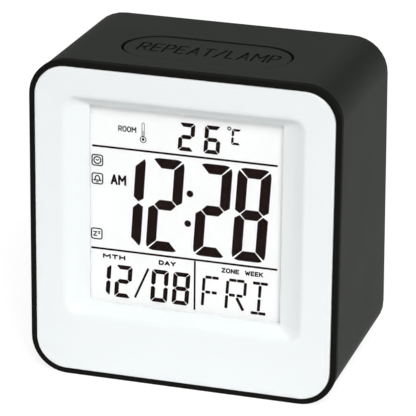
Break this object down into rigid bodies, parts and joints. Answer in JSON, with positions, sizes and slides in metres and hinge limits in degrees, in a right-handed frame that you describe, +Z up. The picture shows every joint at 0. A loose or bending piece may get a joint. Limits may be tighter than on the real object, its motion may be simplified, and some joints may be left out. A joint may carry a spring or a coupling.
{
  "type": "digital alarm clock",
  "caption": "Small upright block-shaped bedside alarm clock: white dished face with a square liquid crystal display, black case, snooze key on top, setting keys and battery door behind.",
  "frame": {"origin": "on the table, midway between the face and the upright back", "axes": "+X to the right as seen from the front, +Y from the front to the back, +Z up; the face looks along -Y"},
  "size_m": [0.0764, 0.0509, 0.08],
  "materials": {
    "black_plastic": "fine satin moulded grain",
    "key_plastic": "satin",
    "white_gloss": "gloss",
    "clear_window": "clear gloss",
    "display_glass": "satin polariser",
    "white_plastic": "satin",
    "contact_rubber": "matte",
    "circuit_board": "satin solder mask",
    "black_epoxy": "semi-gloss",
    "tin": "tinned",
    "steel": "zinc plated",
    "brass": "satin",
    "cell_jacket": "gloss printed jacket",
    "grey_lead": "satin",
    "black_lead": "satin",
    "red_lead": "satin"
  },
  "bodies": {
    "clock_body": {"front_frame": "black_plastic", "face_panel": "white_gloss", "window_lens": "clear_window", "lcd_cell": "display_glass", "light_guide": "white_plastic", "display_holder": "white_plastic", "contact_strip": "contact_rubber", "backlight_led_left": "white_plastic", "backlight_led_right": "white_plastic", "main_board": "circuit_board", "clock_chip": "black_epoxy", "quartz_crystal": "tin", "temperature_sensor": "black_epoxy", "board_screw_1": "steel", "board_screw_2": "steel", "board_screw_3": "steel", "board_screw_4": "steel", "rear_case": "black_plastic", "case_screw_1": "steel", "case_screw_2": "steel", "case_screw_3": "steel", "case_screw_4": "steel", "snooze_board": "circuit_board", "snooze_switch": "black_epoxy", "mode_switch": "black_epoxy", "set_switch": "black_epoxy", "up_switch": "black_epoxy", "down_switch": "black_epoxy", "alarm_switch": "black_epoxy", "key_board": "circuit_board", "key_board_screw_1": "steel", "key_board_screw_2": "steel", "cell_upper": "cell_jacket", "cell_lower": "cell_jacket", "spring_upper": "tin", "spring_lower": "tin", "negative_contact": "tin", "positive_contact": "tin", "bridge_contact": "tin", "piezo_buzzer": "brass", "ribbon_cable": "grey_lead", "buzzer_lead": "grey_lead", "snooze_lead": "grey_lead", "battery_lead_negative": "black_lead", "battery_lead_positive": "red_lead"},
    "snooze": {"snooze_key": "black_plastic", "snooze_plunger": "white_plastic"},
    "mode": {"mode_key": "key_plastic", "mode_plunger": "white_plastic"},
    "set": {"set_key": "key_plastic", "set_plunger": "white_plastic"},
    "up": {"up_key": "key_plastic", "up_plunger": "white_plastic"},
    "down": {"down_key": "key_plastic", "down_plunger": "white_plastic"},
    "alarm": {"alarm_key": "key_plastic", "alarm_plunger": "white_plastic"},
    "door": {"battery_door": "black_plastic"}
  },
  "joints": [
    {"name": "snooze_press", "type": "slide", "parent": "clock_body", "child": "snooze", "axis": [0, 0, -1], "range_m": [0, 0.0008], "stiffness_N_per_m": 800},
    {"name": "mode_press", "type": "slide", "parent": "clock_body", "child": "mode", "axis": [0, -1, 0], "range_m": [0, 0.0005], "stiffness_N_per_m": 800},
    {"name": "set_press", "type": "slide", "parent": "clock_body", "child": "set", "axis": [0, -1, 0], "range_m": [0, 0.0005], "stiffness_N_per_m": 800},
    {"name": "up_press", "type": "slide", "parent": "clock_body", "child": "up", "axis": [0, -1, 0], "range_m": [0, 0.0005], "stiffness_N_per_m": 800},
    {"name": "down_press", "type": "slide", "parent": "clock_body", "child": "down", "axis": [0, -1, 0], "range_m": [0, 0.0005], "stiffness_N_per_m": 800},
    {"name": "alarm_press", "type": "slide", "parent": "clock_body", "child": "alarm", "axis": [0, -1, 0], "range_m": [0, 0.0005], "stiffness_N_per_m": 800},
    {"name": "door_swing", "type": "hinge", "parent": "clock_body", "child": "door", "pos_m": [0, 0.02325, 0.008], "axis": [-1, 0, 0], "range_deg": [0, 80]}
  ]
}
